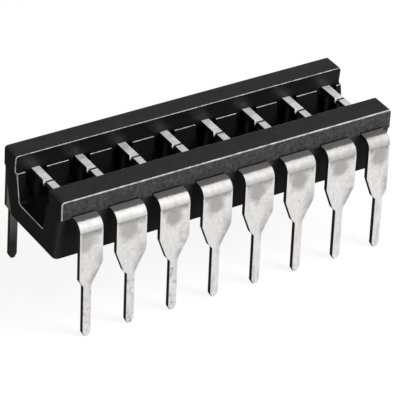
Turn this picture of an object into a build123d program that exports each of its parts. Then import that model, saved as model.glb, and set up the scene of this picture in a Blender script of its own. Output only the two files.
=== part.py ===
from build123d import *
from math import radians, tan
import os

# A programmable jumper shunt on a dual-in-line footprint. One black moulded housing, a trough with a
# rail along each side, carries eight stamped metal shunts. Each shunt is one strip: a pin, a shoulder
# and a bend in the near row, a thin scored strap across the trough, then the same again in the far
# row. Breaking a strap with a punch opens that pair of pins.
# Millimetres. X runs along the housing, Y across it, Z up. The origin is on the ground that the pin
# tips stand on, under the middle of the housing.

# Pins and rows
lead_pitch = 2.54
lead_pairs = 8
row_spacing = 7.62            # between the middles of the two rows, at their bends
strip_thickness = 0.25

# Heights
housing_bottom = 4.00         # above the pin tips
strip_top = 6.82              # above the pin tips: the flat part of every shunt, and the ledges beside it
rail_height = 0.97            # from the ledges up to the tops of the rails

# Housing, outside
end_margin = 1.04             # from the last lead's middle to the housing's end
rail_outer_width = 6.10
parting_step = 0.10           # the lower half is this much narrower on each side
bottom_width = 4.86
bottom_corner_radius = 0.28
parting_corner_radius = 0.03
rail_edge_radius = 0.07       # along the rails and down their corners
rail_end_radius = 0.18        # over the rails' ends
bottom_edge_radius = 0.03

# Housing, inside
trough_width = 3.38           # between the rails, at their top
trough_shift = 0.08           # the trough's middle lies this far towards the far row
rail_undercut = 0.08          # each rail's inner face leans back by this much, for a snap-in cover
upright_height = 0.26         # the lean starts this far above the ledge
ledge_depth = 0.20
floor_thickness = 1.15
floor_width = 2.56
floor_corner_radius = 0.22
inner_edge_radius = 0.05

# Pockets under the straps, cut out of the ledges, each with a rib on its back wall
pocket_width = 1.27
pocket_shift = 0.07           # to the right of the lead's middle
rib_radius = 0.15
rib_reach = 0.27              # how far the rib stands out of the pocket's back wall
rib_top_gap = 0.27            # from the rib's top up to the strap

# Shadow gap that the mould leaves over each lead where it comes out
exit_gap_height = 0.05
exit_gap_depth = 0.12

# Leads
shoulder_width = 1.78
trimmed_shoulder = 0.47       # the outermost leads are cut off this far outside their middle
pin_width = 0.48
bend_radius = 0.55            # on the outer side of the bend
lead_splay = 1.3              # degrees that the pins lean outwards
pin_top = 3.08                # above the tip: both tapers end here
left_taper_rise = 1.44        # from the pin's top up to where the left taper meets the shoulder
right_taper_rise = 1.20
left_foot_rise = 0.26         # a small foot between the left taper and the pin
left_foot_width = 0.22
taper_blend_radius = 0.60     # where the right taper leaves the shoulder and runs into the pin
trim_rise = 0.38              # from the pin's top up to the trimmed side's lower corner
tip_height = 0.25
tip_width = 0.20

# Straps
strap_width = 0.50
strap_shift = 0.14            # to the right of the lead's middle
neck_inset = 0.67             # inside the rail, the lead narrows to the strap this far from the outside
score_place = 0.43            # how far the score lies from the middle, towards the far row
score_width = 0.06
score_depth = 0.12
strap_offset = 0.05           # the near stretch of the strap is narrower by this on its left

# Worked out from the sizes above
body_length = (lead_pairs - 1) * lead_pitch + 2 * end_margin
lead_places = [(i - (lead_pairs - 1) / 2) * lead_pitch for i in range(lead_pairs)]
pocket_places = [place + pocket_shift for place in lead_places]
rail_top = strip_top + rail_height
strip_bottom = strip_top - strip_thickness
parting_height = (strip_top + strip_bottom) / 2
rail_outer = rail_outer_width / 2
lower_width = rail_outer_width - 2 * parting_step
inner_wall = trough_width / 2 + rail_undercut
ledge_front = inner_wall - ledge_depth
floor_height = housing_bottom + floor_thickness
neck = rail_outer - neck_inset
leg_outer = row_spacing / 2 + strip_thickness / 2
left_taper_top = pin_top + left_taper_rise
right_taper_top = pin_top + right_taper_rise
rib_middle = inner_wall - rib_reach + rib_radius
rib_round_height = strip_bottom - rib_top_gap - rib_radius


def lead_outline(left, right):
    """Front view of one lead about its pin's middle, from above its bend down to the tip.

    left and right are how far the shoulder reaches to each side. A side that falls short of the full
    shoulder is a trimmed one, which has no taper.
    """
    half_pin = pin_width / 2
    half_tip = tip_width / 2
    trim_corner = pin_top + trim_rise
    left_side = [(-left, trim_corner)]
    right_side = [(right, trim_corner)]
    if left == shoulder_width / 2:
        left_side = [(-left, left_taper_top), (-half_pin - left_foot_width, pin_top + left_foot_rise)]
    if right == shoulder_width / 2:
        right_side = [(right, right_taper_top)]
    return Polyline(
        (-left, rail_top),
        *left_side,
        (-half_pin, pin_top),
        (-half_pin, tip_height),
        (-half_tip, 0),
        (half_tip, 0),
        (half_pin, tip_height),
        (half_pin, pin_top),
        *right_side,
        (right, rail_top),
        close=True,
    )


def shunt_strip(place, left, right):
    """One stamped and bent strip with its pins at X = place, both leads and the strap between them."""
    tip_y = leg_outer + (strip_top + tip_height) * tan(radians(lead_splay))
    with BuildPart() as strip:
        # The bent strip from the side, as wide as a shoulder all along
        with BuildSketch(Plane.YZ.offset(place)):
            with BuildLine():
                FilletPolyline(
                    (-tip_y, -tip_height),
                    (-leg_outer, strip_top),
                    (leg_outer, strip_top),
                    (tip_y, -tip_height),
                    radius=bend_radius,
                )
                offset(amount=strip_thickness, side=Side.RIGHT, closed=True)
            make_face()
        extrude(amount=shoulder_width / 2, both=True)

        # Shoulders, tapers, pins and tips, punched from the front
        with BuildSketch(Plane(origin=(place, 0, 0), x_dir=(1, 0, 0), z_dir=(0, -1, 0))) as front:
            with BuildLine():
                lead_outline(left, right)
            make_face()
            if right == shoulder_width / 2:
                corners = front.vertices()
                taper_corners = [
                    corners.sort_by_distance((right, right_taper_top))[0],
                    corners.sort_by_distance((pin_width / 2, pin_top))[0],
                ]
                fillet(taper_corners, radius=taper_blend_radius)
        extrude(amount=2 * tip_y, both=True, mode=Mode.INTERSECT)

        # Windows that leave only the strap between the two rows, punched from above
        strap_left = place + strap_shift - strap_width / 2
        with BuildSketch(Plane.XY.offset(strip_bottom)):
            with Locations((strap_left + strap_width, 0)):
                Rectangle(shoulder_width, 2 * neck, align=(Align.MIN, Align.CENTER))
            with Locations((strap_left, score_place)):
                Rectangle(shoulder_width, neck - score_place, align=(Align.MAX, Align.MIN))
            with Locations((strap_left + strap_offset, score_place)):
                Rectangle(shoulder_width, neck + score_place, align=(Align.MAX, Align.MAX))
        extrude(amount=strip_thickness, mode=Mode.SUBTRACT)

        # The score that the strap breaks at
        with BuildSketch(Plane.XY.offset(strip_top)):
            with Locations((place, score_place)):
                Rectangle(shoulder_width, score_width, align=(Align.CENTER, Align.MAX))
        extrude(amount=-score_depth, mode=Mode.SUBTRACT)
    return strip.part


def long_edges(builder, y, z):
    """The edges along X that lie at height z and at y on either side of the trough's middle."""
    tolerance = inner_edge_radius / 10

    def lies_there(edge):
        middle = edge.center()
        return abs(abs(middle.Y - trough_shift) - y) < tolerance and abs(middle.Z - z) < tolerance

    return builder.edges().filter_by(Axis.X).filter_by(lies_there)


def mouth_edges(end):
    """The edges round the trough's mouth on one end face of the housing, without the outer ones."""
    rail_middle = (inner_wall + rail_outer) / 2
    floor_middle = (housing_bottom + floor_height) / 2
    rail_end = rail_top - rail_end_radius
    mouth = end.edges().filter_by_position(Axis.Y, -rail_middle, rail_middle)
    return mouth.filter_by_position(Axis.Z, floor_middle, rail_end)


os.makedirs("parts", exist_ok=True)

shunts = []
for number, place in enumerate(lead_places, start=1):
    left = trimmed_shoulder if number == 1 else shoulder_width / 2
    right = trimmed_shoulder if number == lead_pairs else shoulder_width / 2
    shunt = shunt_strip(place, left, right)
    shunt.label = f"shunt_{number}"
    export_step(shunt, f"parts/{shunt.label}.step")
    shunts.append(shunt)

with BuildPart() as housing:
    # Upper half of the moulding, above the parting line
    with BuildSketch(Plane.XZ) as side_view:
        with Locations((0, parting_height)):
            Rectangle(body_length, rail_top - parting_height, align=(Align.CENTER, Align.MIN))
        fillet(side_view.vertices().group_by(Axis.Y)[-1], radius=rail_end_radius)
    extrude(amount=rail_outer, both=True)
    side_faces = housing.faces().filter_by(Axis.Y)
    fillet(side_faces.edges() - side_faces.edges().group_by(Axis.Z)[0], radius=rail_edge_radius)

    # Lower half, which narrows downwards and whose corners grow rounder
    with BuildSketch(Plane.XY.offset(parting_height)):
        RectangleRounded(body_length, lower_width, parting_corner_radius)
    with BuildSketch(Plane.XY.offset(housing_bottom)):
        RectangleRounded(body_length, bottom_width, bottom_corner_radius)
    loft(ruled=True)
    fillet(housing.faces().sort_by(Axis.Z)[0].edges(), radius=bottom_edge_radius)

    # Trough, open at both ends
    with BuildSketch(Plane(origin=(0, trough_shift, 0), x_dir=(0, 1, 0), z_dir=(1, 0, 0))) as trough:
        with BuildLine():
            Polyline(
                (0, floor_height),
                (floor_width / 2, floor_height),
                (ledge_front, strip_top),
                (inner_wall, strip_top),
                (inner_wall, strip_top + upright_height),
                (trough_width / 2, rail_top),
                (0, rail_top),
            )
            mirror(about=Plane.YZ)
        make_face()
        fillet(trough.vertices().sort_by(Axis.Y)[:2], radius=floor_corner_radius)
    extrude(amount=body_length / 2, both=True, mode=Mode.SUBTRACT)
    fillet(long_edges(housing, trough_width / 2, rail_top), radius=inner_edge_radius)
    fillet(long_edges(housing, ledge_front, strip_top), radius=inner_edge_radius)
    for end in (housing.faces().sort_by(Axis.X)[0], housing.faces().sort_by(Axis.X)[-1]):
        fillet(mouth_edges(end), radius=inner_edge_radius)

    # Pockets under the straps
    with BuildSketch(Plane.XY.offset(floor_height)):
        with Locations(*[(x, trough_shift) for x in pocket_places]):
            Rectangle(pocket_width, 2 * inner_wall)
    extrude(amount=strip_top - floor_height, mode=Mode.SUBTRACT)

    # A rib with a round front and a domed top on the back wall of every pocket
    for side in (-1, 1):
        rib_places = [(x, trough_shift + side * rib_middle) for x in pocket_places]
        with BuildSketch(Plane.XY.offset(floor_height)):
            with Locations(*rib_places):
                Circle(rib_radius)
            with Locations(*[(x, trough_shift + side * inner_wall) for x in pocket_places]):
                Rectangle(2 * rib_radius, 2 * (inner_wall - rib_middle))
        extrude(amount=rib_round_height - floor_height)
        with Locations(*[(x, y, rib_round_height) for x, y in rib_places]):
            Sphere(rib_radius)
            Cylinder(rib_radius, 2 * (inner_wall - rib_middle), rotation=(90, 0, 0))

    # Slots that the strips lie in, and the shadow gap over each lead
    add(shunts, mode=Mode.SUBTRACT)
    for side in (-1, 1):
        with BuildSketch(Plane.XY.offset(strip_top)):
            with Locations(*[(place, side * rail_outer) for place in lead_places[1:-1]]):
                Rectangle(shoulder_width, 2 * exit_gap_depth)
            end_width = shoulder_width / 2 + trimmed_shoulder
            end_shift = (shoulder_width / 2 - trimmed_shoulder) / 2
            with Locations(
                (lead_places[0] + end_shift, side * rail_outer),
                (lead_places[-1] - end_shift, side * rail_outer),
            ):
                Rectangle(end_width, 2 * exit_gap_depth)
        extrude(amount=exit_gap_height, mode=Mode.SUBTRACT)

housing.part.label = "housing"
export_step(housing.part, "parts/housing.step")
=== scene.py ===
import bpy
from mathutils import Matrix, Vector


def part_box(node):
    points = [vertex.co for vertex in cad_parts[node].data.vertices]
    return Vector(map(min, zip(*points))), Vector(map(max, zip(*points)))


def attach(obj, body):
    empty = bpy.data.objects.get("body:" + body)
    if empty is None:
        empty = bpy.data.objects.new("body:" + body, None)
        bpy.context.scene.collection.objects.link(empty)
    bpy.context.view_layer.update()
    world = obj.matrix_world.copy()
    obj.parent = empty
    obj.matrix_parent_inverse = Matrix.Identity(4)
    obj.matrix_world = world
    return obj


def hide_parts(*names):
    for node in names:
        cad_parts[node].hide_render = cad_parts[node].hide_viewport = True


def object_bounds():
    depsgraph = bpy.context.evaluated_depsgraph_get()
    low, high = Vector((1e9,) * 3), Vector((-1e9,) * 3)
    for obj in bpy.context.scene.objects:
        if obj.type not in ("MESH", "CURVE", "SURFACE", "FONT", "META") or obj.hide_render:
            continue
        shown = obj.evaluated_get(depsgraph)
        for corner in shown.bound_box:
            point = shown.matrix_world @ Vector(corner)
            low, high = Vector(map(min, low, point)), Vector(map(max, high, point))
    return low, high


bl_info = {
    "name": "Programmable Jumper Shunt",
    "version": (1, 0, 0),
    "blender": (4, 5, 0),
    "location": "View3D > Sidebar > Jumper Shunt",
    "description": "Finishes a dual in-line jumper shunt: black trough, tinned shunts and a plain studio",
    "category": "Add Mesh",
}

from math import cos, pi, radians, sin, tan

import bpy
import numpy as np
from bpy.props import FloatProperty, FloatVectorProperty, PointerProperty
from mathutils import Matrix, Vector

# X runs along the housing, Y across it and Z up from the pin tips. The near row lies on -Y.
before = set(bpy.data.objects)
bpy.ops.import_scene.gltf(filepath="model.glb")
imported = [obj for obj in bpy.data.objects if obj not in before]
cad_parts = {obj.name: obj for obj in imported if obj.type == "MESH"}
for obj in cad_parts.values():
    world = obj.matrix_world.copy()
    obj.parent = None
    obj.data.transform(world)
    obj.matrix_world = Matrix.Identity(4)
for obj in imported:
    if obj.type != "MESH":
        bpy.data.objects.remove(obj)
CAD_BOX = [list(corner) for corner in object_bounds()]
MM = 0.001
BODY = "root"
SHUNT_NODES = sorted(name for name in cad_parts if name.startswith("shunt_"))
STRIP_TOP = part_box(SHUNT_NODES[0])[1].z
FULL_LOW, FULL_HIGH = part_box(SHUNT_NODES[1])
SHOULDER_WIDTH = FULL_HIGH.x - FULL_LOW.x
TRIM_LOW, TRIM_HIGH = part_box(SHUNT_NODES[0])
TRIMMED_SHOULDER = (TRIM_HIGH.x - TRIM_LOW.x) - SHOULDER_WIDTH / 2
TIP_SPREAD = FULL_HIGH.y

# How many rings each stretch of a strip gets, and how many points one ring gets
BEND_RINGS = 19
LEG_RINGS = 75
FLAT_RINGS = 61
TIP_RINGS = 6
BURR_RINGS = 9
CORNER_RINGS = 7
SOFT_CORNER_RINGS = 11
CUT_RINGS = 5
FACE_POINTS = 17
ROUND_STEPS = 4

CUT_SHARPNESS = 0.25  # the score's walls rise within this share of a sharp corner's reach
BURR_SHARE = 0.2  # share of the strap's width that the burr takes
SMOOTH_LIMIT = 35  # degrees at which shading breaks
FLAT_FACE_WEIGHT = 90  # how strongly large faces keep their own shading

# The leads' places along the row, which the plastic's scuffs follow
PITCH = 2.54 * MM
FIRST_LEAD = -8.89 * MM
SIDE_LEAN = 0.193  # the housing's lower sides lean out by this share of their height

# Ranges in millimetres over which the finishes change
MIDDLE = (-0.2, 0.2)  # Y, from the near to the far half of the trough
RAIL_WALL = (2.7, 2.8)  # reach in Y, at the rails' outer walls
LEAD_EXIT = (2.9, 3.0)  # reach in Y, just inside the place where the leads come out
BEND_START = (6.31, 6.36)  # Z, where a shoulder runs into its bend

SCORE_SHADOW = 0.365 * MM  # Y of the dark line at a score

# Name, azimuth, elevation, distance, size and power of each lamp, in degrees, metres and watts
LAMPS = (
    ("key lamp", 40, 44, 0.20, 0.10, 0.38),
    ("left lamp", -50, 6, 0.20, 0.06, 0.04),
    ("back lamp", -142, 27, 0.20, 0.05, 0.03),
)

# Sockets of the Mix node when it mixes colours
MIX_FIRST = 6
MIX_SECOND = 7
MIX_RESULT = 2


def millimetres(name, description, value):
    """A length property whose default is given in millimetres."""
    return FloatProperty(
        name=name, description=description, default=value * MM, min=0.0, precision=5, unit="LENGTH"
    )


def degrees(name, description, value):
    """An angle property whose default is given in degrees."""
    return FloatProperty(name=name, description=description, default=radians(value), subtype="ANGLE")


def plain_number(name, description, value):
    """A number property without a unit."""
    return FloatProperty(name=name, description=description, default=value, min=0.0)


def colour(name, description, value):
    """A linear colour property."""
    return FloatVectorProperty(name=name, description=description, default=value, size=3, subtype="COLOR")


class ShuntSizes(bpy.types.PropertyGroup):
    """Sizes of one stamped and bent strip, from pin tip to pin tip."""

    thickness: millimetres("Thickness", "Thickness of the strip", 0.25)
    bend_radius: millimetres("Bend radius", "Radius on the outer side of each bend", 0.55)
    splay: degrees("Splay", "Angle that the pins lean outwards", 1.3)
    outer_roll: millimetres("Outer edge roll", "Radius that the punch leaves on the outer edges", 0.035)
    inner_roll: millimetres("Inner edge roll", "Radius on the inner edges, where the burr was", 0.018)
    pin_width: millimetres("Pin width", "Width of the pin below the shoulder", 0.48)
    tip_width: millimetres("Tip width", "Width of the pin at its very tip", 0.20)
    tip_height: millimetres("Tip height", "Height of the chamfer at the tip", 0.25)
    pin_top: millimetres("Pin top", "Height above the tip where both tapers end", 3.08)
    left_rise: millimetres("Left taper rise", "From the pin's top to the shoulder's left corner", 1.44)
    right_rise: millimetres("Right taper rise", "From the pin's top to the shoulder's right corner", 1.20)
    foot_rise: millimetres("Foot rise", "Height of the small foot under the left taper", 0.26)
    foot_width: millimetres("Foot width", "Width of that foot beside the pin", 0.22)
    trim_rise: millimetres("Trim rise", "From the pin's top to a trimmed side's lower corner", 0.38)
    soft_corner: millimetres("Soft corner", "Reach of the right taper's rounded corners", 0.154)
    sharp_corner: millimetres("Sharp corner", "Reach of every other corner of the outline", 0.025)
    strap_width: millimetres("Strap width", "Width of the strap across the trough", 0.50)
    strap_shift: millimetres("Strap shift", "The strap lies this far to the right of the pin's middle", 0.14)
    strap_offset: millimetres("Strap offset", "The near stretch is narrower by this on its left", 0.05)
    neck_place: millimetres("Neck place", "Where the lead narrows to the strap, from the middle", 2.38)
    score_place: millimetres("Score place", "Far edge of the score, from the middle", 0.43)
    score_width: millimetres("Score width", "Width of the score", 0.06)
    score_depth: millimetres("Score depth", "Depth of the score", 0.12)
    burr_length: millimetres("Burr length", "Length of the small burr beside the score", 0.10)
    burr_reach: millimetres("Burr reach", "The burr stands out this far to the left", 0.06)
    burr_drop: millimetres("Burr drop", "The top of the burr bends down this far", 0.15)
    dish_height: millimetres("Dish height", "Height of the pressing mark on each shoulder", 5.65)
    dish_radius: millimetres("Dish radius", "Radius of that mark", 0.36)
    dish_depth: millimetres("Dish depth", "Depth of that mark", 0.008)


class Finishes(bpy.types.PropertyGroup):
    """Colours of the two materials and the floor."""

    # Tops: the lit colour of the plastic; other faces take darker copies below, as painted shade.
    plastic: colour("Plastic", "Colour of the moulding's tops, which are handled", (0.020, 0.020, 0.0205))
    # Outer faces: painted lighter, as if lit; the pale specks on them are dusty flecks.
    plastic_lit_outer: colour("Dusty plastic", "Colour of the rails' outer faces", (0.036, 0.036, 0.037))
    plastic_bloom: colour("Plastic bloom", "Colour of the pale specks on those faces", (0.112, 0.112, 0.114))
    # Painted shade: the darker copy on the ends, the trough and the lower sides.
    plastic_painted_shade: colour("Deep plastic", "Colour of the ends and the trough", (0.0085, 0.0085, 0.0088))
    # Painted light: strap reflections, light beside the leads and a highlight on the lower corners.
    plastic_painted_light: colour("Scuffed plastic", "Colour of the scuffs over the straps", (0.050, 0.050, 0.051))
    # Painted highlights along the moulding's edges.
    edge_highlight_colour: colour("Rubbed edge", "Colour of the moulding's polished edges", (0.62, 0.62, 0.62))
    tin: colour("Tin", "Colour of the tin plate low on the leads", (0.83, 0.82, 0.80))
    # Dull tin, also painted shade on the shoulders, below the bends, down the tapers and on the bends
    # towards the row's right end.
    tin_dull_and_shaded: colour("Dull tin", "Colour of the tin plate beside the housing", (0.40, 0.395, 0.385))
    # Also the painted highlight along the leads' rims.
    tin_bright: colour("Bright tin", "Colour of the pins and the leads' rims", (0.77, 0.76, 0.745))
    tin_strap: colour("Strap tin", "Colour of the straps", (0.90, 0.89, 0.87))
    # Painted shade on the leads' inner faces and exit flats, and the colour of small dark specks.
    tin_shade_and_specks: colour("Tin inside", "Colour of the leads' inner faces", (0.11, 0.108, 0.105))
    # Painted shade on each exit flat, for the dark rail that it reflects.
    tin_exit_shade: colour("Film on tin", "Colour of the film where a lead comes out", (0.135, 0.133, 0.13))
    # Painted shade on left-facing sheared edges, and painted shadow in the scores and the slit beside the
    # rail.
    painted_cut_shade: colour("Cut edge", "Colour of the sheared edges", (0.012, 0.0115, 0.011))
    floor: colour("Floor", "Colour of the floor", (0.86, 0.86, 0.86))


class StageSettings(bpy.types.PropertyGroup):
    """Camera, as solved from the photograph's perspective, floor and surroundings."""

    azimuth: degrees("Azimuth", "Camera azimuth", -32.996)
    elevation: degrees("Elevation", "Camera height", 33.229)
    roll: degrees("Roll", "Camera roll", 3.286)
    distance: millimetres("Distance", "From the origin's plane to the camera", 157.155)
    slide_right: millimetres("Slide right", "Camera place to the right of the origin", 0.3178)
    slide_up: millimetres("Slide up", "Camera place above the origin, across the view", 2.7155)
    lens: plain_number("Lens", "Focal length in millimetres on a 36 mm sensor", 265.1)
    floor_half: millimetres("Floor half", "Half the side of the floor", 600.0)
    floor_shade: plain_number("Floor shade", "Share of matt floor where it is seen", 0.12)
    floor_glow: plain_number("Floor glow", "Strength of the white where the floor is seen", 0.90)
    ambient: plain_number("Ambient", "Strength of the surroundings as light", 0.30)


def rounded_rise(along, corner, slope_change, reach):
    """Part of an outline past one corner.

    It is 0 before the corner and slope_change times the distance past it after, joined within reach of
    the corner by the parabola (distance + reach) squared over four times reach, which is tangent to both.
    """
    past = along - corner
    blend = (past + reach) ** 2 / (4 * reach)
    ramp = np.where(past < -reach, 0.0, np.where(past > reach, past, blend))
    return slope_change * ramp


def outline(along, points, reaches):
    """Reach of a strip's side at each height: straight runs between points, with rounded corners.

    points are (height, reach) pairs upwards. The first and last runs are level beyond the first and last
    point. The curve is the first reach plus one rounded rise for each change of slope.
    """
    heights = [height for height, _ in points]
    sides = [side for _, side in points]
    slopes = [0.0]
    slopes += [(b - a) / (q - p) for a, b, p, q in zip(sides, sides[1:], heights, heights[1:])]
    slopes += [0.0]
    result = np.full_like(along, sides[0])
    for height, before, after, reach in zip(heights, slopes, slopes[1:], reaches):
        result = result + rounded_rise(along, height, after - before, reach)
    return result


def side_points(sizes, trimmed, side):
    """The corners of one side of a lead, as (height, reach) pairs, with the reach of each rounding."""
    half_pin = sizes.pin_width / 2
    sharp = sizes.sharp_corner
    points = [(0.0, sizes.tip_width / 2), (sizes.tip_height, half_pin), (sizes.pin_top, half_pin)]
    if trimmed:
        points.append((sizes.pin_top + sizes.trim_rise, TRIMMED_SHOULDER))
        return points, [sharp] * 4
    if side < 0:
        points.append((sizes.pin_top + sizes.foot_rise, half_pin + sizes.foot_width))
        points.append((sizes.pin_top + sizes.left_rise, SHOULDER_WIDTH / 2))
        return points, [sharp] * 5
    points.append((sizes.pin_top + sizes.right_rise, SHOULDER_WIDTH / 2))
    return points, [sharp, sharp, sizes.soft_corner, sizes.soft_corner]


def clusters(marks, spread, count):
    """Closer places about every mark: the mark plus even steps within spread on both sides."""
    return (np.asarray(marks)[:, None] + spread * np.linspace(-1, 1, count)[None, :]).ravel()


def strip_places(sizes, flat_length, arc_length, leg_length):
    """Places along a strip from its middle, near half negative, closer wherever its shape changes.

    Places that nearly meet are dropped, down to one within an eighth of the score's own step.
    """
    bend = flat_length + arc_length * np.linspace(0, 1, BEND_RINGS)
    leg_start = flat_length + arc_length
    corner_heights = [
        sizes.tip_height,
        sizes.pin_top,
        sizes.pin_top + sizes.foot_rise,
        sizes.pin_top + sizes.trim_rise,
        sizes.pin_top + sizes.left_rise,
        sizes.pin_top + sizes.right_rise,
    ]
    soft_heights = [sizes.pin_top, sizes.pin_top + sizes.right_rise]
    tip = leg_start + leg_length
    corners = clusters([tip - height for height in corner_heights], sizes.sharp_corner, CORNER_RINGS)
    soft = clusters([tip - height for height in soft_heights], sizes.soft_corner, SOFT_CORNER_RINGS)
    leg = leg_start + leg_length * np.linspace(0, 1, LEG_RINGS)
    tip_roll = tip - sizes.outer_roll * (1 - np.cos(np.linspace(0, pi / 2, TIP_RINGS)))
    half = np.concatenate([bend, leg, corners, soft, tip_roll])
    step = CUT_SHARPNESS * sizes.sharp_corner
    cuts = [sizes.score_place - sizes.score_width, sizes.score_place]
    flat = np.concatenate(
        [
            sizes.score_place + sizes.burr_length * np.linspace(0, 1.5, BURR_RINGS),
            np.linspace(-flat_length, flat_length, FLAT_RINGS),
            clusters([-sizes.neck_place, sizes.neck_place], sizes.sharp_corner, CORNER_RINGS),
            clusters(cuts, step, CUT_RINGS),
        ]
    )
    places = np.unique(np.round(np.concatenate([-half, flat, half]), 9))
    return places[np.insert(np.diff(places) > step / 8, 0, True)]


def strip_path(places, sizes, flat_length, turn):
    """Outer line of the strip in the YZ plane, and its outward normal, at signed places from the middle.

    Flat: y is the place. Bend: an arc of the bend radius, where the angle is the length past the flat
    over the radius. Leg: a straight line on from the arc's end, at the angle of the whole turn.
    """
    away = np.abs(places)
    side = np.sign(places)
    angle = np.clip((away - flat_length) / sizes.bend_radius, 0, turn)
    past = np.maximum(away - flat_length - sizes.bend_radius * turn, 0)
    y = np.minimum(away, flat_length) + sizes.bend_radius * np.sin(angle) + past * np.cos(angle)
    z = STRIP_TOP - sizes.bend_radius * (1 - np.cos(angle)) - past * np.sin(angle)
    return side * y, z, side * np.sin(angle), np.cos(angle)


def section_ring(across, round_steps):
    """One rounded rectangle as shares of its width and depth, and offsets in units of its corner radius.

    The ring runs over the outer face from left to right, down the right side, back over the inner face
    and up the left side. Returns width share, depth share, two offsets, and 1 where a point is on a side.
    """
    face = np.linspace(0, 1, across)
    turn = np.linspace(0, pi / 2, round_steps + 1)[1:]
    rows = []
    for share in face:
        rows.append((share, 0, 0, -1, 0))
    for angle in turn:
        rows.append((1, 0, sin(angle), -cos(angle), 1))
    for angle in np.insert(turn, 0, 0.0):
        rows.append((1, 1, cos(angle), sin(angle), 1 if angle < pi / 2 else 0))
    for share in face[::-1][1:]:
        rows.append((share, 1, 0, 1, 0))
    for angle in turn:
        rows.append((0, 1, -sin(angle), cos(angle), 1))
    for angle in np.insert(turn, 0, 0.0)[:-1]:
        rows.append((0, 0, -cos(angle), -sin(angle), 1))
    return np.array(rows).T


def soft_step(values, edge, width):
    """0 below the edge and 1 above it, with a smooth cubic step of the given half-width between."""
    t = np.clip((values - edge) / (2 * width) + 0.5, 0, 1)
    return t * t * (3 - 2 * t)


def strip_sides(sizes, y, z, trimmed_left, trimmed_right):
    """How far a strip reaches to the left and right of its pin's middle, at each place along it.

    Outside the necks it is the lead's outline at that height, and between them the strap's own width.
    """
    left = outline(z, *side_points(sizes, trimmed_left, -1))
    right = outline(z, *side_points(sizes, trimmed_right, 1))
    strap = 1 - soft_step(np.abs(y), sizes.neck_place, sizes.sharp_corner)
    near_part = 1 - soft_step(y, sizes.score_place, CUT_SHARPNESS * sizes.sharp_corner)
    strap_left = sizes.strap_width / 2 - sizes.strap_shift - sizes.strap_offset * near_part
    strap_right = sizes.strap_width / 2 + sizes.strap_shift
    return left + (strap_left - left) * strap, right + (strap_right - right) * strap


def score_groove(sizes, y):
    """1 within the score and 0 beside it: a step up at its near wall times a step down at its far one."""
    step = CUT_SHARPNESS * sizes.sharp_corner
    past_near_wall = soft_step(y, sizes.score_place - sizes.score_width, step)
    return past_near_wall * (1 - soft_step(y, sizes.score_place, step))


def burr_ear(sizes, y, width_share):
    """1 on the strap's left edge just past the score, fading along the strap and across it."""
    start = soft_step(y, sizes.score_place, CUT_SHARPNESS * sizes.sharp_corner)
    end = soft_step(y, sizes.score_place + sizes.burr_length, sizes.burr_length / 2)
    return np.outer(start * (1 - end), np.clip(1 - width_share / BURR_SHARE, 0, 1))


def pressing_dish(sizes, x, z):
    """Depth of the round mark: its full depth times (1 - distance squared over radius squared) squared."""
    share = (x**2 + (z - sizes.dish_height) ** 2) / sizes.dish_radius**2
    return sizes.dish_depth * np.clip(1 - share, 0, 1) ** 2


def closed_tube(name, points):
    """A mesh from rings of points, shape (rings, points in a ring, 3), each end closed by one face.

    Vertex number is ring times ring length plus place in the ring. Faces join each ring to the next.
    """
    rings, length, _ = points.shape
    ring = np.arange(rings - 1)[:, None] * length
    here = np.arange(length)[None, :]
    following = (here + 1) % length
    next_ring = ring + length
    quads = np.stack([ring + here, ring + following, next_ring + following, next_ring + here], axis=-1)
    first = list(range(length))[::-1]
    last = [(rings - 1) * length + k for k in range(length)]
    mesh = bpy.data.meshes.new(name)
    mesh.from_pydata(points.reshape(-1, 3), [], quads.reshape(-1, 4).tolist() + [first, last])
    mesh.update()
    return mesh


def add_marks(mesh, name, values):
    """One number at every vertex, for the material to read."""
    marks = mesh.attributes.new(name, "FLOAT", "POINT")
    marks.data.foreach_set("value", values.astype(np.float32))


def shade_smooth(mesh, limit):
    """Smooth shading, broken where two faces meet at more than the limit."""
    mesh.polygons.foreach_set("use_smooth", np.ones(len(mesh.polygons), dtype=bool))
    mesh.set_sharp_from_angle(angle=limit)


def weigh_normals(piece):
    """Keeps flat faces flat in shade beside their rolled edges."""
    modifier = piece.modifiers.new("Weighted normals", "WEIGHTED_NORMAL")
    modifier.keep_sharp = True
    modifier.weight = FLAT_FACE_WEIGHT


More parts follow.
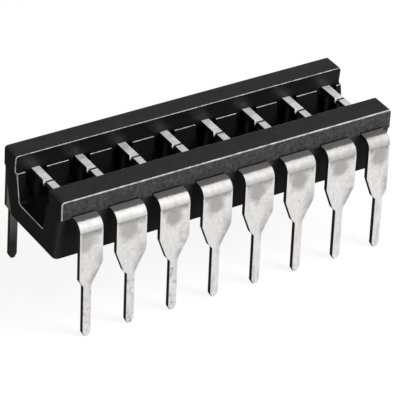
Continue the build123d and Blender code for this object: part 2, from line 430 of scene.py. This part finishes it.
def shunt_piece(node, sizes, number, count):
    """One strip: a rounded rectangle carried along the bent line, as wide and thick as the strip is there.

    Point = outer line - depth * normal, shifted along X. The width is the outline at that height, or the
    strap's between the necks. The depth starts below the surface by the score and the pressing mark.
    """
    low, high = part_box(node)
    trimmed_left = number == 1
    trimmed_right = number == count
    middle = high.x - SHOULDER_WIDTH / 2
    if trimmed_right:
        middle = low.x + SHOULDER_WIDTH / 2
    turn = pi / 2 - sizes.splay
    leg_outer = TIP_SPREAD - STRIP_TOP * tan(sizes.splay)
    flat_length = leg_outer - sizes.bend_radius * tan(turn / 2)
    arc_length = sizes.bend_radius * turn
    leg_length = (STRIP_TOP - sizes.bend_radius * (1 - cos(turn))) / sin(turn)
    places = strip_places(sizes, flat_length, arc_length, leg_length)
    y, z, normal_y, normal_z = strip_path(places, sizes, flat_length, turn)

    left, right = strip_sides(sizes, y, z, trimmed_left, trimmed_right)
    groove = score_groove(sizes, y)
    to_tip = np.clip(z / sizes.outer_roll, 0, 1)
    tip_inset = sizes.outer_roll * (1 - np.sqrt(1 - (1 - to_tip) ** 2))

    width_share, depth_share, off_x, off_d, cut = section_ring(FACE_POINTS, ROUND_STEPS)
    roll = np.where(depth_share == 0, sizes.outer_roll, sizes.inner_roll)[None, :]
    low_x = (-left + tip_inset)[:, None]
    high_x = (right - tip_inset)[:, None]
    x = low_x + roll + (high_x - low_x - 2 * roll) * width_share + roll * off_x
    top = groove * sizes.score_depth + tip_inset
    bottom = sizes.thickness - tip_inset
    depth = np.where(depth_share == 0, top[:, None] + roll, bottom[:, None] - roll) + roll * off_d

    on_face = (depth_share == 0) & (cut == 0)
    on_leg = np.abs(y)[:, None] > flat_length
    depth = depth + np.where(on_face[None, :] & on_leg, pressing_dish(sizes, x, z[:, None]), 0)
    ear = burr_ear(sizes, y, width_share)
    x = x - ear * sizes.burr_reach
    depth = depth + ear * sizes.burr_drop * (depth_share == 0)

    outer_y = y[:, None] - depth * normal_y[:, None]
    outer_z = z[:, None] - depth * normal_z[:, None]
    points = np.stack([middle + x, outer_y, np.maximum(outer_z, 0)], axis=-1)
    mesh = closed_tube(f"tin_{node}", points)
    add_marks(mesh, "cut", np.tile(cut, len(places)))
    add_marks(mesh, "groove", np.outer(groove > 0.01, depth_share == 0).ravel())
    add_marks(mesh, "across", x.ravel())
    add_marks(mesh, "rim", np.tile(np.abs(2 * width_share - 1), len(places)))
    add_marks(mesh, "inside", np.outer(np.abs(y) > flat_length, depth_share == 1).ravel())
    shade_smooth(mesh, radians(SMOOTH_LIMIT))
    piece = bpy.data.objects.new(f"tin_{node}", mesh)
    bpy.context.scene.collection.objects.link(piece)
    weigh_normals(piece)
    return piece


def scaled(value, share):
    """A colour times a number."""
    return tuple(share * part for part in value)


class NodeSheet:
    """Short hand for building the node tree of one material, or of the world."""

    def __init__(self, owner):
        owner.use_nodes = True
        self.tree = owner.node_tree
        self.tree.nodes.clear()

    def join(self, socket, value):
        """Links the socket to another one, or sets its value."""
        if isinstance(value, bpy.types.NodeSocket):
            self.tree.links.new(value, socket)
        else:
            socket.default_value = value

    def add(self, kind, inputs=None, **settings):
        """A node of that kind, with its settings, values and links."""
        node = self.tree.nodes.new(kind)
        for key, value in settings.items():
            setattr(node, key, value)
        for key, value in (inputs or {}).items():
            self.join(node.inputs[key], value)
        return node

    def object_place(self):
        """The piece's own coordinates, in metres."""
        return self.add("ShaderNodeTexCoord").outputs["Object"]

    def normal(self):
        """The surface's direction, by the names X, Y and Z."""
        return self.parts(self.add("ShaderNodeTexCoord").outputs["Normal"])

    def parts(self, vector):
        """The three numbers of a vector, by the names X, Y and Z."""
        return self.add("ShaderNodeSeparateXYZ", {"Vector": vector}).outputs

    def mark(self, name):
        """A number that the mesh carries at its vertices."""
        return self.add("ShaderNodeAttribute", attribute_name=name).outputs["Fac"]

    def maths(self, operation, first, second):
        """One sum on numbers."""
        node = self.add("ShaderNodeMath", {0: first, 1: second}, operation=operation)
        return node.outputs[0]

    def size(self, value):
        """A number without its sign."""
        return self.add("ShaderNodeMath", {0: value}, operation="ABSOLUTE").outputs[0]

    def times(self, *factors):
        """The product of two or more numbers."""
        product = factors[0]
        for factor in factors[1:]:
            product = self.maths("MULTIPLY", product, factor)
        return product

    def largest(self, *values):
        """The largest of two or more numbers."""
        best = values[0]
        for value in values[1:]:
            best = self.maths("MAXIMUM", best, value)
        return best

    def distance(self, first, second):
        """The root of the sum of two squares."""
        pair = self.add("ShaderNodeCombineXYZ", {"X": first, "Y": second}).outputs["Vector"]
        return self.add("ShaderNodeVectorMath", {0: pair}, operation="LENGTH").outputs["Value"]

    def between(self, value, low, high, to_low=0.0, to_high=1.0):
        """Maps the range low to high onto another, held at its ends."""
        mapped = self.add(
            "ShaderNodeMapRange",
            {"Value": value, "From Min": low, "From Max": high, "To Min": to_low, "To Max": to_high},
            clamp=True,
        )
        return mapped.outputs["Result"]

    def graded(self, value, low, high, from_share, to_share):
        """A share that runs from one number to another over a range in millimetres, held at its ends."""
        return self.between(value, low * MM, high * MM, from_share, to_share)

    def rises(self, value, low, high):
        """0 below a range in millimetres and 1 above it."""
        return self.graded(value, low, high, 0.0, 1.0)

    def falls(self, value, low, high):
        """1 below a range in millimetres and 0 above it."""
        return self.graded(value, low, high, 1.0, 0.0)

    def square_to(self, share):
        """1 where the surface faces along an axis, given its direction's share of that axis."""
        return self.between(share, 0.80, 0.95)

    def noise(self, place, per_mm, detail=2.0, roughness=0.5, stretch=(1, 1, 1)):
        """Noise with so many cells a millimetre, 0 to 1, stretched along an axis."""
        turned = self.add("ShaderNodeMapping", {"Vector": place, "Scale": stretch}).outputs["Vector"]
        inputs = {"Vector": turned, "Scale": per_mm / MM, "Detail": detail, "Roughness": roughness}
        return self.add("ShaderNodeTexNoise", inputs).outputs["Fac"]

    def blend(self, share, first, second):
        """A colour between first and second, each of them a socket or three numbers."""
        mix = self.add("ShaderNodeMix", {"Factor": share}, data_type="RGBA")
        for number, value in ((MIX_FIRST, first), (MIX_SECOND, second)):
            plain = not isinstance(value, bpy.types.NodeSocket)
            self.join(mix.inputs[number], (*value, 1.0) if plain else value)
        return mix.outputs[MIX_RESULT]

    def bump(self, height, distance, normal=None):
        """Relief of that height in metres, on top of another relief where one is given."""
        inputs = {"Height": height, "Distance": distance, "Strength": 1.0}
        if normal is not None:
            inputs["Normal"] = normal
        return self.add("ShaderNodeBump", inputs).outputs["Normal"]

    def seen_directly(self):
        """1 for what the camera, a reflection or a clear body sees, and 0 for light that falls on things."""
        path = self.add("ShaderNodeLightPath").outputs
        return self.largest(path["Is Camera Ray"], path["Is Glossy Ray"], path["Is Transmission Ray"])

    def finish(self, shader, kind="ShaderNodeOutputMaterial"):
        """Sends the shader to the surface."""
        self.add(kind, {"Surface": shader})


def painted_edge_highlights(sheet, place):
    """1 in the middle of the moulding's standing edges, where a painted highlight goes, and 0 on its faces.

    The surface leans to two axes at once on a round edge, so the product of those two parts of its
    direction is 0 on either face and 0.5 half way between them. Only the rails' long edges, the corners
    above the parting step and the edges round the trough's mouth get the painted highlight, and a noise
    widens it on the outer edges.
    """
    where = sheet.parts(place)
    along = sheet.size(where["X"])
    normal = sheet.normal()
    lean_x = sheet.size(normal["X"])
    lean_y = sheet.size(normal["Y"])
    lean_up = sheet.maths("MAXIMUM", normal["Z"], 0.0)
    at_end = sheet.rises(along, 9.78, 9.82)
    outer_wall = sheet.rises(sheet.size(where["Y"]), *RAIL_WALL)
    far_half = sheet.rises(where["Y"], *MIDDLE)

    # A noise that varies the width of the painted highlight on the outer edges.
    line_wobble = sheet.between(sheet.noise(place, 1.9, detail=4, roughness=0.7), 0.35, 0.62, 0.0, 0.15)
    lean = sheet.maths("ADD", sheet.times(lean_y, lean_up), sheet.times(outer_wall, line_wobble))
    off_near_inside = sheet.largest(
        sheet.falls(along, 9.20, 9.30), far_half, sheet.falls(where["Y"], -2.2, -2.1)
    )
    above_trough = sheet.rises(where["Z"], 6.40, 6.45)
    long_edges = sheet.times(sheet.between(lean, 0.27, 0.40), above_trough, off_near_inside)

    far_mouth = sheet.times(far_half, sheet.falls(where["Y"], 2.0, 2.1))
    near_mouth = sheet.times(
        sheet.falls(where["Y"], *MIDDLE),
        sheet.rises(where["Y"], -2.1, -2.0),
        sheet.graded(where["Z"], 5.8, 6.3, 0.45, 0.0),
    )
    above_step = sheet.times(sheet.rises(where["Z"], 6.70, 6.75), outer_wall)
    upright = sheet.times(
        sheet.between(sheet.times(lean_x, lean_y), 0.16, 0.30),
        at_end,
        sheet.largest(near_mouth, far_mouth, above_step),
    )

    sill = sheet.times(
        sheet.between(sheet.times(lean_x, lean_up), 0.16, 0.30),
        at_end,
        sheet.falls(where["Z"], 7.1, 7.2),
        sheet.rises(where["Y"], -1.35, -1.10),
    )
    return sheet.largest(long_edges, upright, sill)


def painted_strap_reflections(sheet, place, normal):
    """1 in the painted reflection of a strap on the rails' inner faces over each end of it, and 0 elsewhere.

    The painted reflections repeat at the lead pitch and lean to the left as they rise: 0.75 of the height is
    added to the place along the row, whose distance from the point midway between two leads then sets the
    reflection.
    """
    where = sheet.parts(place)
    lean = sheet.times(sheet.maths("SUBTRACT", where["Z"], 6.95 * MM), 0.75)
    from_midway = sheet.maths("PINGPONG", sheet.maths("ADD", where["X"], lean), PITCH / 2)
    return sheet.times(
        sheet.graded(from_midway, 0.65, 1.25, 0.15, 1.0),
        sheet.graded(where["Z"], 6.80, 7.15, 0.5, 1.0),
        sheet.graded(where["Z"], 7.20, 7.74, 1.0, 0.2),
        sheet.falls(sheet.size(where["Y"]), 2.1, 2.2),
        sheet.rises(where["Z"], 6.78, 6.84),
        sheet.square_to(sheet.size(normal["Y"])),
    )


def painted_corner_highlight(sheet, place):
    """1 along the moulding's four lower corners, where a painted highlight goes, fading to 0 within 0.4 mm
    on both faces.

    The lower sides lean out, so that share of the height comes off the reach in Y.
    """
    where = sheet.parts(place)
    reach = sheet.maths("SUBTRACT", sheet.size(where["Y"]), sheet.times(where["Z"], SIDE_LEAN))
    over_end = sheet.rises(reach, 1.25, 1.66)
    over_side = sheet.rises(sheet.size(where["X"]), 9.50, 9.90)
    return sheet.times(over_end, over_side, sheet.falls(where["Z"], 6.60, 6.70))


def painted_light_beside_leads(sheet, place):
    """1 on the lower sides just right of each lead, under the parting step, where painted light goes, and 0
    elsewhere.

    The place along the row is taken over the lead pitch, so it is 0 at each lead's middle.
    """
    where = sheet.parts(place)
    along = sheet.maths("FLOORED_MODULO", sheet.maths("SUBTRACT", where["X"], FIRST_LEAD), PITCH)
    return sheet.times(
        sheet.rises(along, 0.2, 0.9),
        sheet.falls(along, 1.30, 1.75),
        sheet.rises(where["Z"], 5.2, 5.9),
        sheet.falls(where["Z"], 6.64, 6.70),
        sheet.rises(where["X"], -8.9, -8.7),
    )


def black_plastic(finishes):
    """Satin black moulding: fine grain, soft cloudiness, and painted light and shade: darker ends, trough
    and lower sides, lighter outer faces with pale dusty flecks, strap reflections, light beside the leads,
    corner and edge highlights.
    """
    material = bpy.data.materials.new("black moulded plastic")
    sheet = NodeSheet(material)
    place = sheet.object_place()
    where = sheet.parts(place)
    normal = sheet.normal()
    away = sheet.size(where["Y"])
    side_face = sheet.square_to(sheet.size(normal["Y"]))
    grain = sheet.noise(place, 14, detail=3)
    cloud = sheet.noise(place, 1.3, detail=3, roughness=0.6)
    fleck = sheet.noise(place, 5.0, detail=4, roughness=0.65)
    # Noise that makes the painted reflections, light and edge highlights patchy.
    patch_noise = sheet.noise(place, 2.6, detail=3, roughness=0.7)
    patchy = sheet.between(patch_noise, 0.35, 0.60, 0.45, 1.0)

    clouded = sheet.blend(
        sheet.between(cloud, 0.35, 0.65), scaled(finishes.plastic, 0.8), scaled(finishes.plastic, 1.2)
    )
    # Painted light and shade: the tops keep the lit colour, every other face gets the darker deep colour.
    lit_tops = sheet.times(sheet.between(normal["Z"], 0.50, 0.90), sheet.rises(where["Z"], 7.60, 7.70))
    body = sheet.blend(lit_tops, finishes.plastic_painted_shade, clouded)

    # Painted shade on the lower sides under the leads.
    lower_side = sheet.times(side_face, sheet.rises(away, 2.2, 2.3))
    body = sheet.blend(lower_side, body, scaled(finishes.plastic_painted_shade, 0.5))
    # Painted light on the lower sides just right of each lead.
    beside = sheet.times(
        lower_side, painted_light_beside_leads(sheet, place), sheet.between(patch_noise, 0.35, 0.60, 0.75, 1.0)
    )
    body = sheet.blend(beside, body, scaled(finishes.plastic_painted_light, 1.4))
    # Painted shade on the trough's floor.
    trough_floor = sheet.times(sheet.square_to(normal["Z"]), sheet.falls(where["Z"], 5.2, 5.4))
    body = sheet.blend(trough_floor, body, scaled(finishes.plastic_painted_shade, 0.4))

    # The rails' outer faces are painted lighter, as if lit, with pale dusty flecks.
    outer = sheet.times(side_face, sheet.rises(away, 2.60, 2.70), sheet.rises(where["Z"], 6.68, 6.74))
    dusty = sheet.times(sheet.between(fleck, 0.36, 0.76), sheet.between(cloud, 0.30, 0.65, 0.45, 1.0))
    lit_dusty_face = sheet.blend(dusty, finishes.plastic_lit_outer, finishes.plastic_bloom)
    body = sheet.blend(outer, body, lit_dusty_face)

    # Painted reflections of the straps on the rails' inner faces.
    strap_reflections = sheet.times(painted_strap_reflections(sheet, place, normal), patchy)
    body = sheet.blend(strap_reflections, body, finishes.plastic_painted_light)
    # Painted highlight along the lower corners.
    body = sheet.blend(sheet.times(painted_corner_highlight(sheet, place), 0.45), body, finishes.plastic_painted_light)
    # Painted highlights along the moulding's edges.
    body = sheet.blend(sheet.times(painted_edge_highlights(sheet, place), patchy), body, finishes.edge_highlight_colour)

    end_face = sheet.square_to(sheet.size(normal["X"]))
    roughness = sheet.largest(sheet.between(cloud, 0.3, 0.7, 0.42, 0.55), sheet.times(end_face, 0.95))
    relief = sheet.bump(cloud, 0.010 * MM, sheet.bump(grain, 0.0022 * MM))
    shader = sheet.add(
        "ShaderNodeBsdfPrincipled",
        {
            "Base Color": body,
            "Roughness": roughness,
            "Normal": relief,
            "IOR": 1.5,
            "Specular IOR Level": 0.06,
        },
    )
    sheet.finish(shader.outputs["BSDF"])
    return material


class TinSheet(NodeSheet):
    """A node sheet with the places, mesh marks and noises that the tin plate's stains and painted shade
    share.
    """

    def __init__(self, material):
        super().__init__(material)
        self.place = self.object_place()
        self.where = self.parts(self.place)
        self.height = self.where["Z"]
        self.away = self.size(self.where["Y"])
        self.across = self.mark("across")
        self.rim = self.mark("rim")
        self.cloud = self.noise(self.place, 1.7, detail=3, roughness=0.55)
        self.mottle = self.noise(self.place, 5.5, detail=3, roughness=0.6)
        self.streaks = self.noise(self.place, 4.5, detail=3, roughness=0.6, stretch=(1.0, 1.0, 0.22))


def painted_shoulder_shade(sheet):
    """1 on the painted shade over each shoulder and in the band under its bend, both with wavy edges.

    The patch is an ellipse about a point 5.8 mm up and 0.15 mm left of the lead's middle, and its
    distance is in units of the ellipse's own half axes.
    """
    wave = sheet.between(sheet.cloud, 0.2, 0.8, -0.8, 0.8)
    sideways = sheet.graded(sheet.across, -1.35, 1.05, -1.9, 1.9)
    upwards = sheet.graded(sheet.height, 4.5, 7.1, -2.0, 2.0)
    from_patch = sheet.maths("ADD", sheet.distance(sideways, upwards), wave)
    patch = sheet.between(from_patch, 0.55, 1.35, 0.75, 0.0)
    wavy_height = sheet.maths("ADD", sheet.height, sheet.times(wave, 0.25 * MM))
    band = sheet.times(sheet.rises(wavy_height, 5.85, 6.20), sheet.falls(sheet.height, *BEND_START))
    return sheet.largest(patch, band)


def dull_plate(sheet, finishes):
    """Tin plate with painted shade on the shoulders, a fine mottle and streaks down the leads."""
    shaded_shoulders = sheet.times(painted_shoulder_shade(sheet), sheet.between(sheet.mottle, 0.3, 0.7, 0.75, 1.0))
    patches = sheet.between(sheet.mottle, 0.35, 0.70, 0.0, 0.35)
    plate = sheet.blend(sheet.largest(shaded_shoulders, patches), finishes.tin, finishes.tin_dull_and_shaded)
    smear = sheet.between(sheet.streaks, 0.50, 0.72, 0.0, 0.30)
    return sheet.blend(smear, plate, finishes.tin_dull_and_shaded)


def with_bends(sheet, finishes, plate, bend):
    """Clean tin round the bends, dimmed by streaks and by painted shade towards the row's right end, a soft
    band of painted shade below them, and a painted highlight on the rims.
    """
    plate = sheet.blend(bend, plate, finishes.tin)
    # Streaky dullness, plus painted shade on the bends growing towards the row's right end.
    bend_dull_and_shade = sheet.maths(
        "ADD",
        sheet.between(sheet.streaks, 0.3, 0.7, 0.40, 0.65),
        sheet.graded(sheet.where["X"], -7.0, 7.0, 0.0, 0.35),
    )
    plate = sheet.blend(sheet.times(bend, bend_dull_and_shade), plate, finishes.tin_dull_and_shaded)
    # Painted shade in a soft band just below each bend.
    crease_shade = sheet.times(
        sheet.rises(sheet.height, 5.90, 6.20),
        sheet.falls(sheet.height, 6.28, 6.36),
        sheet.between(sheet.mottle, 0.3, 0.6, 0.3, 0.75),
    )
    plate = sheet.blend(crease_shade, plate, scaled(finishes.tin_dull_and_shaded, 0.72))
    # Painted highlight along each lead's two edges below the bend.
    rim_highlight = sheet.times(sheet.between(sheet.rim, 0.86, 0.96), sheet.falls(sheet.height, 6.2, 6.3))
    return sheet.blend(rim_highlight, plate, finishes.tin_bright)


def with_pins(sheet, finishes, plate):
    """Bright streaky pins, and painted shade down the right half of each taper."""
    streaky = sheet.between(sheet.streaks, 0.45, 0.75, 0.0, 0.5)
    pin = sheet.blend(streaky, finishes.tin_bright, finishes.tin_dull_and_shaded)
    plate = sheet.blend(sheet.falls(sheet.height, 3.0, 4.2), plate, pin)
    # Painted shade down the right half of each taper.
    taper_shade = sheet.times(
        sheet.between(sheet.rim, 0.15, 0.80),
        sheet.rises(sheet.across, 0.0, 0.1),
        sheet.rises(sheet.height, 2.9, 3.3),
        sheet.falls(sheet.height, 4.2, 5.2),
        sheet.between(sheet.cloud, 0.30, 0.55, 0.15, 0.75),
    )
    return sheet.blend(taper_shade, plate, scaled(finishes.tin_dull_and_shaded, 0.8))


def with_spots(sheet, finishes, plate):
    """Small dark specks, a round pressing spot on each shoulder, and grime on the row's left pins.

    The spot is a disc about a point 5.68 mm up and 0.12 mm left of the lead's middle, with a wavy edge.
    """
    specks = sheet.noise(sheet.place, 2.6, detail=4, roughness=0.75)
    plate = sheet.blend(sheet.between(specks, 0.63, 0.71, 0.0, 0.4), plate, finishes.tin_shade_and_specks)
    from_spot = sheet.distance(
        sheet.maths("ADD", sheet.across, 0.12 * MM), sheet.maths("SUBTRACT", sheet.height, 5.68 * MM)
    )
    wave = sheet.between(sheet.mottle, 0.2, 0.8, -0.13 * MM, 0.13 * MM)
    spot = sheet.times(
        sheet.falls(sheet.maths("ADD", from_spot, wave), 0.36, 0.52),
        sheet.graded(sheet.where["X"], -7.5, -4.5, 0.2, 0.5),
        sheet.rises(sheet.away, 3.2, 3.3),
    )
    plate = sheet.blend(spot, plate, scaled(finishes.tin_dull_and_shaded, 0.75))
    grime = sheet.times(
        sheet.falls(sheet.height, 2.7, 3.0),
        sheet.graded(sheet.where["X"], -4.0, -1.0, 1.0, 0.3),
        sheet.between(sheet.noise(sheet.place, 3.2, detail=3, roughness=0.7), 0.52, 0.66),
        0.65,
    )
    return sheet.blend(grime, plate, scaled(finishes.tin_dull_and_shaded, 0.5))


def with_straps(sheet, finishes, plate, strap):
    """Bright straps, darker in clouds and more on their near stretch."""
    near_stretch = sheet.graded(sheet.where["Y"], 0.36, 0.40, 0.45, 0.0)
    patchy = sheet.largest(near_stretch, sheet.between(sheet.cloud, 0.35, 0.65, 0.0, 0.6))
    patchy = sheet.maths("ADD", patchy, sheet.between(sheet.mottle, 0.4, 0.7, 0.0, 0.3))
    band = sheet.blend(patchy, finishes.tin_strap, scaled(finishes.tin_strap, 0.5))
    return sheet.blend(strap, plate, band)


def with_exit_shade(sheet, finishes, plate, exit_shade):
    """Painted shade on the flat where each lead comes out, for the dark rail that it reflects, and darker
    painted shadow in the slit beside the rail.
    """
    blotchy = sheet.between(sheet.mottle, 0.3, 0.7, 0.0, 0.6)
    plate = sheet.blend(exit_shade, plate, sheet.blend(blotchy, finishes.tin_exit_shade, finishes.tin_shade_and_specks))
    # Painted shadow in the slit beside the rail.
    slit = sheet.times(exit_shade, sheet.falls(sheet.away, 3.09, 3.12))
    return sheet.blend(slit, plate, finishes.painted_cut_shade)


def with_shaded_inner_faces(sheet, finishes, plate):
    """Painted shade on the leads' inner faces, darker still towards the tips."""
    below = sheet.graded(sheet.height, 0.9, 2.9, 0.20, 1.0)
    shade = sheet.blend(below, (0.0, 0.0, 0.0), finishes.tin_shade_and_specks)
    return sheet.blend(sheet.mark("inside"), plate, shade)


def tinned_metal(finishes):
    """Satin tin plate over rolled brass, with painted shade beside the housing, painted shade on the
    left-facing sheared edges and painted shadow at the scores.
    """
    material = bpy.data.materials.new("satin tin plate")
    sheet = TinSheet(material)
    outside = sheet.rises(sheet.away, *LEAD_EXIT)
    bend = sheet.times(sheet.rises(sheet.height, *BEND_START), outside)
    ragged = sheet.maths("ADD", sheet.height, sheet.between(sheet.mottle, 0.2, 0.8, -0.014 * MM, 0.014 * MM))
    # Where the painted shade on each exit flat goes.
    exit_shade = sheet.times(sheet.rises(ragged, 6.775, 6.800), outside)
    strap = sheet.falls(sheet.away, 2.4, 2.6)

    plate = dull_plate(sheet, finishes)
    plate = with_bends(sheet, finishes, plate, bend)
    plate = with_pins(sheet, finishes, plate)
    plate = with_spots(sheet, finishes, plate)
    plate = with_straps(sheet, finishes, plate, strap)
    plate = with_exit_shade(sheet, finishes, plate, exit_shade)
    plate = with_shaded_inner_faces(sheet, finishes, plate)

    cut = sheet.mark("cut")
    facing_right = sheet.normal()["X"]
    right_cut = sheet.times(cut, sheet.between(facing_right, 0.30, 0.60))
    plate = sheet.blend(right_cut, plate, scaled(finishes.tin_dull_and_shaded, 0.6))
    # Painted shade on the sheared edges that face left, and painted shadow in and beside each score.
    shaded_left_cut = sheet.times(cut, sheet.between(facing_right, -0.60, -0.30, 1.0, 0.0))
    from_score = sheet.size(sheet.maths("SUBTRACT", sheet.where["Y"], SCORE_SHADOW))
    dark = sheet.largest(shaded_left_cut, sheet.mark("groove"), sheet.falls(from_score, 0.055, 0.080))
    skin = sheet.blend(dark, plate, finishes.painted_cut_shade)

    covered = sheet.largest(dark, exit_shade, sheet.times(strap, 0.7))
    roughness = sheet.largest(
        sheet.between(sheet.mottle, 0.3, 0.7, 0.34, 0.44),
        sheet.times(strap, 0.55),
        sheet.times(bend, 0.74),
        sheet.times(dark, 0.8),
    )
    rolling = sheet.noise(sheet.place, 16, detail=1, stretch=(1.0, 0.08, 0.08))
    relief = sheet.bump(rolling, 0.0006 * MM, sheet.bump(sheet.mottle, 0.0016 * MM))
    shader = sheet.add(
        "ShaderNodeBsdfPrincipled",
        {
            "Base Color": skin,
            "Metallic": sheet.between(covered, 0.0, 1.0, 1.0, 0.0),
            "Roughness": roughness,
            "Normal": relief,
            "Specular IOR Level": 0.08,
        },
    )
    sheet.finish(shader.outputs["BSDF"])
    return material


def floor_material(finishes, stage):
    """Pale floor: plain matt for the light that it throws back, and nearly white wherever it is seen.

    The part that is seen keeps a share of matt floor, and with it the soft shadow.
    """
    material = bpy.data.materials.new("pale floor")
    sheet = NodeSheet(material)
    shade = stage.floor_shade
    matt = sheet.add("ShaderNodeBsdfDiffuse", {"Color": (*finishes.floor, 1.0)})
    shaded = sheet.add("ShaderNodeBsdfDiffuse", {"Color": (shade, shade, shade, 1.0)})
    white = sheet.add("ShaderNodeEmission", {"Strength": stage.floor_glow})
    seen = sheet.add("ShaderNodeAddShader", {0: shaded.outputs["BSDF"], 1: white.outputs["Emission"]})
    both = sheet.add(
        "ShaderNodeMixShader", {0: sheet.seen_directly(), 1: matt.outputs["BSDF"], 2: seen.outputs["Shader"]}
    )
    sheet.finish(both.outputs["Shader"])
    return material


def white_surroundings(stage):
    """World: white where it is seen, plain and dimmer as light."""
    world = bpy.data.worlds.new("white surroundings")
    bpy.context.scene.world = world
    sheet = NodeSheet(world)
    level = sheet.between(sheet.seen_directly(), 0.0, 1.0, stage.ambient, 1.0)
    background = sheet.add("ShaderNodeBackground", {"Strength": level})
    sheet.finish(background.outputs["Background"], "ShaderNodeOutputWorld")


def direction(azimuth, elevation):
    """Unit vector from the part at a bearing in radians. Azimuth 0 lies in front, on -Y."""
    return Vector((sin(azimuth) * cos(elevation), -cos(azimuth) * cos(elevation), sin(elevation)))


def soft_lamp(name, azimuth, elevation, distance, size, power):
    """A round area lamp at a bearing in degrees about the part, turned towards it."""
    back = direction(radians(azimuth), radians(elevation))
    middle = (Vector(CAD_BOX[0]) + Vector(CAD_BOX[1])) / 2
    data = bpy.data.lights.new(name, "AREA")
    data.shape = "DISK"
    data.size = size
    data.energy = power
    lamp = bpy.data.objects.new(name, data)
    lamp.location = middle + back * distance
    lamp.rotation_euler = back.to_track_quat("Z", "Y").to_euler()
    bpy.context.scene.collection.objects.link(lamp)


def place_camera(stage):
    """The camera at the photograph's viewpoint: bearing, roll, distance and focal length."""
    back = direction(stage.azimuth, stage.elevation)
    level = Vector((0, 0, 1)).cross(back).normalized()
    upright = back.cross(level)
    right = cos(stage.roll) * level + sin(stage.roll) * upright
    up = -sin(stage.roll) * level + cos(stage.roll) * upright
    data = bpy.data.cameras.new("photograph view")
    data.lens = stage.lens
    data.sensor_width = 36.0
    data.clip_start = 0.01
    camera = bpy.data.objects.new("photograph view", data)
    place = right * stage.slide_right + up * stage.slide_up + back * stage.distance
    turn = Matrix((right, up, back)).transposed().to_4x4()
    camera.matrix_world = Matrix.Translation(place) @ turn
    bpy.context.scene.collection.objects.link(camera)
    bpy.context.scene.camera = camera


class FinishHousing(bpy.types.Operator):
    """Give the black moulding its plastic"""

    bl_idname = "jumper_shunt.finish_housing"
    bl_label = "Finish the housing"

    def execute(self, context):
        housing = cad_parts["housing"]
        material = black_plastic(context.scene.jumper_finishes)
        for slot in housing.material_slots:
            slot.material = material
        return {"FINISHED"}


class BuildShunts(bpy.types.Operator):
    """Build the eight stamped strips with their rolled edges, scores and pressing marks"""

    bl_idname = "jumper_shunt.build_shunts"
    bl_label = "Build the shunts"

    def execute(self, context):
        material = tinned_metal(context.scene.jumper_finishes)
        for number, node in enumerate(SHUNT_NODES, start=1):
            piece = shunt_piece(node, context.scene.jumper_shunt, number, len(SHUNT_NODES))
            piece.data.materials.append(material)
            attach(piece, BODY)
            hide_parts(node)
        return {"FINISHED"}


class BuildStage(bpy.types.Operator):
    """Set up the floor, the soft lamps, the white surroundings and the camera"""

    bl_idname = "jumper_shunt.build_stage"
    bl_label = "Build the stage"

    def execute(self, context):
        scene = context.scene
        stage = scene.jumper_stage
        half = stage.floor_half
        mesh = bpy.data.meshes.new("floor")
        corners = [(-half, -half, 0), (half, -half, 0), (half, half, 0), (-half, half, 0)]
        mesh.from_pydata(corners, [], [(0, 1, 2, 3)])
        floor = bpy.data.objects.new("floor", mesh)
        floor.data.materials.append(floor_material(scene.jumper_finishes, stage))
        scene.collection.objects.link(floor)
        white_surroundings(stage)
        for lamp in LAMPS:
            soft_lamp(*lamp)
        scene.view_settings.view_transform = "Standard"
        place_camera(stage)
        return {"FINISHED"}


class JumperShuntPanel(bpy.types.Panel):
    """Lists the steps that finish the jumper shunt"""

    bl_idname = "JUMPER_PT_shunt"
    bl_label = "Jumper Shunt"
    bl_space_type = "VIEW_3D"
    bl_region_type = "UI"
    bl_category = "Jumper Shunt"

    def draw(self, context):
        for operator in OPERATORS:
            self.layout.operator(operator.bl_idname)


OPERATORS = (FinishHousing, BuildShunts, BuildStage)
CLASSES = (ShuntSizes, Finishes, StageSettings, *OPERATORS, JumperShuntPanel)


def register():
    for cls in CLASSES:
        bpy.utils.register_class(cls)
    bpy.types.Scene.jumper_shunt = PointerProperty(type=ShuntSizes)
    bpy.types.Scene.jumper_finishes = PointerProperty(type=Finishes)
    bpy.types.Scene.jumper_stage = PointerProperty(type=StageSettings)


def unregister():
    del bpy.types.Scene.jumper_stage
    del bpy.types.Scene.jumper_finishes
    del bpy.types.Scene.jumper_shunt
    for cls in reversed(CLASSES):
        bpy.utils.unregister_class(cls)


def main():
    """Runs every step in order."""
    register()
    bpy.ops.jumper_shunt.finish_housing()
    bpy.ops.jumper_shunt.build_shunts()
    bpy.ops.jumper_shunt.build_stage()


if __name__ == "__main__":
    main()
